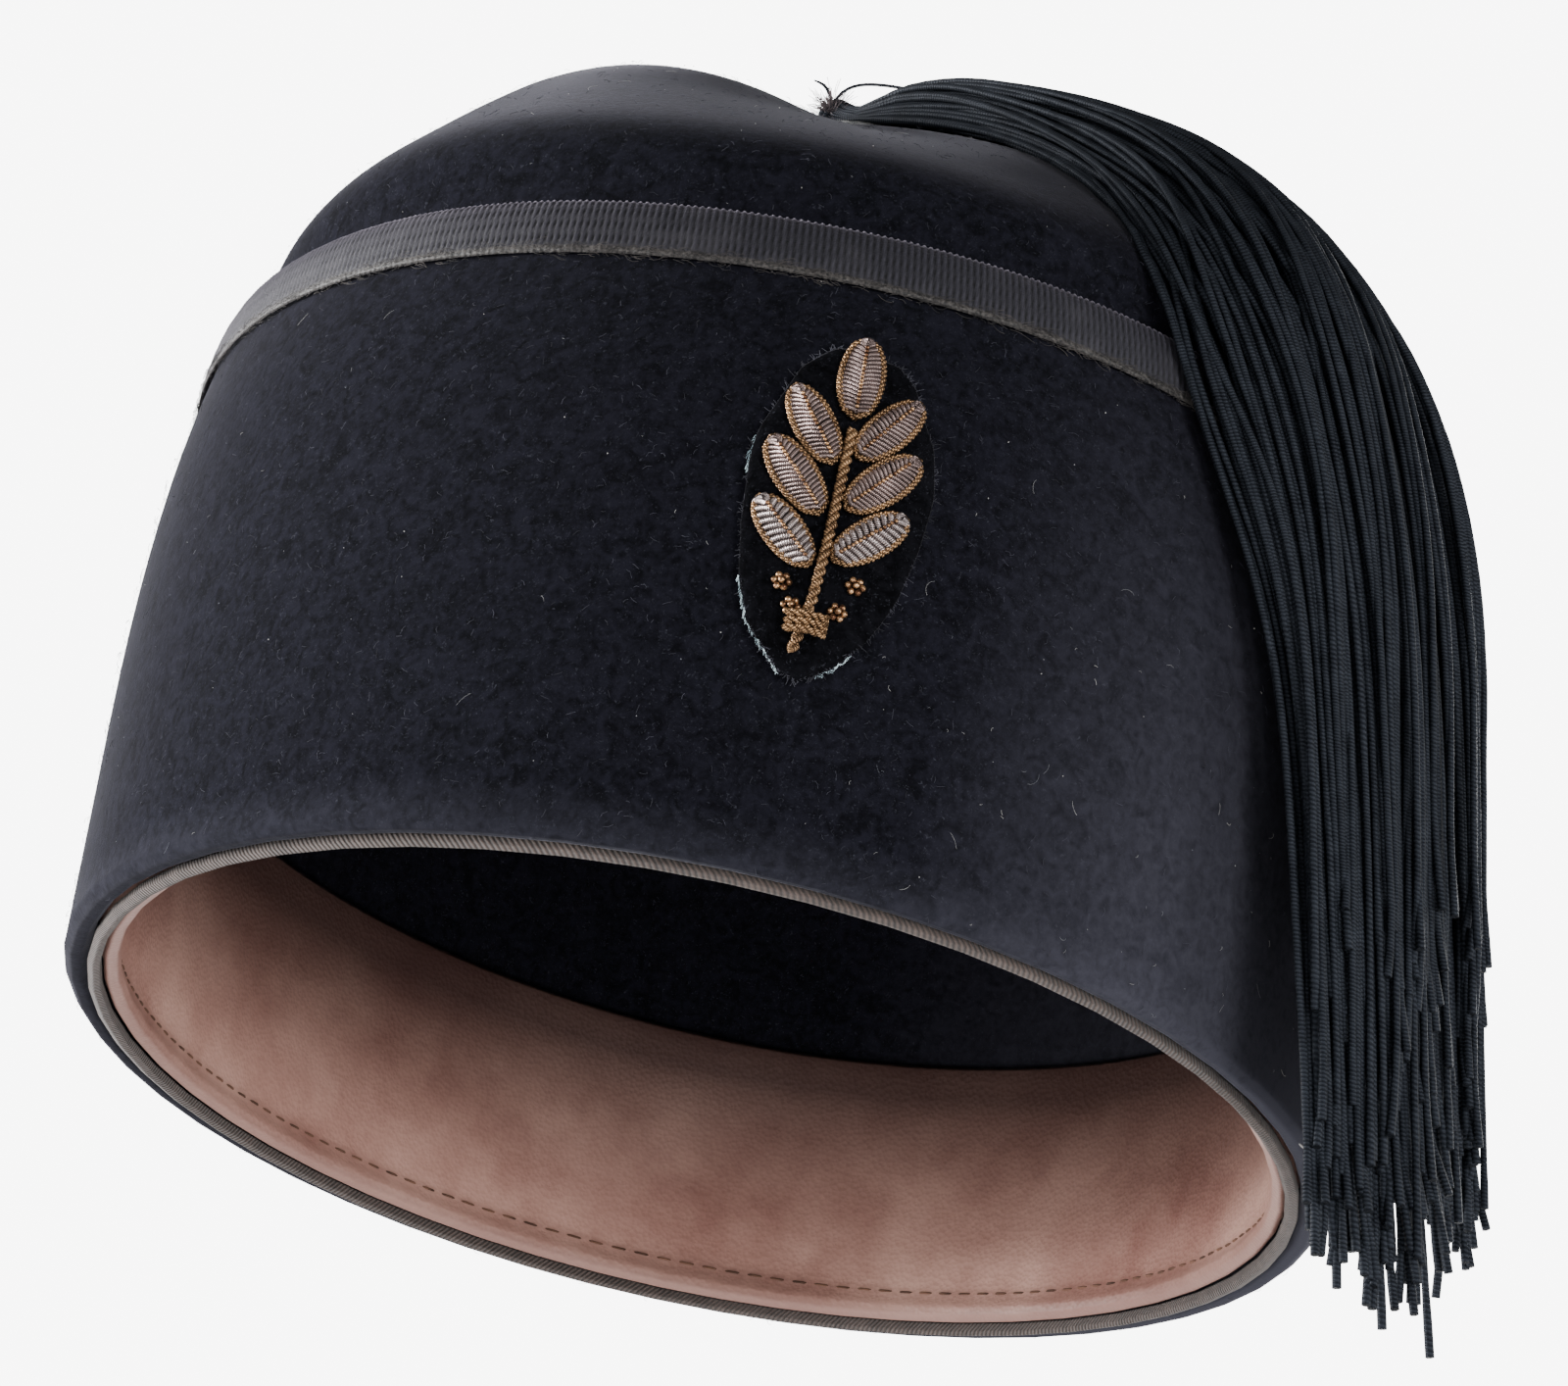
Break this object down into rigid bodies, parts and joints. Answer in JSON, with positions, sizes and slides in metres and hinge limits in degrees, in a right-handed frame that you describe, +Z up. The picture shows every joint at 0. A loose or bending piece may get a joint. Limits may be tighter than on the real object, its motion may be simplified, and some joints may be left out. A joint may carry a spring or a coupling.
{
  "type": "fez",
  "caption": "Black felt fez with a deep turned-up cuff, ribbon binding, leather sweatband, wire-work badge and a long cord tassel.",
  "frame": {"origin": "centre of the mouth, on the plane of the felt's lowest edge, where the hat is held on a head or stand", "axes": "+Z up along the hat's axis with the mouth level, front of the hat towards -Y, tassel over the +X side"},
  "size_m": [0.2009, 0.2169, 0.1869],
  "materials": {
    "black_felt": "short napped wool felt",
    "charcoal_grosgrain": "ribbed ribbon",
    "tan_leather": "smooth, satin",
    "grey_brown_twill": "woven twill tape",
    "black_cord": "soft sheen",
    "black_patch_felt": "matt felt",
    "gold_brown_cord": "twisted metal-wrapped cord",
    "bronze_bullion": "coiled wire, satin",
    "bronze_beads": "coiled wire beads"
  },
  "bodies": {
    "root": {"crown_with_cuff": "black_felt", "ribbon_binding": "charcoal_grosgrain", "sweatband": "tan_leather", "rim_tape": "grey_brown_twill", "tassel_stem": "black_cord", "tassel": "black_cord", "badge_patch": "black_patch_felt", "badge_stem": "gold_brown_cord", "badge_tie": "gold_brown_cord", "badge_leaf_1": "bronze_bullion", "badge_leaf_2": "bronze_bullion", "badge_leaf_3": "bronze_bullion", "badge_leaf_4": "bronze_bullion", "badge_leaf_5": "bronze_bullion", "badge_leaf_6": "bronze_bullion", "badge_leaf_7": "bronze_bullion", "badge_berry_1": "bronze_beads", "badge_berry_2": "bronze_beads", "badge_berry_3": "bronze_beads", "badge_berry_4": "bronze_beads"}
  },
  "joints": []
}
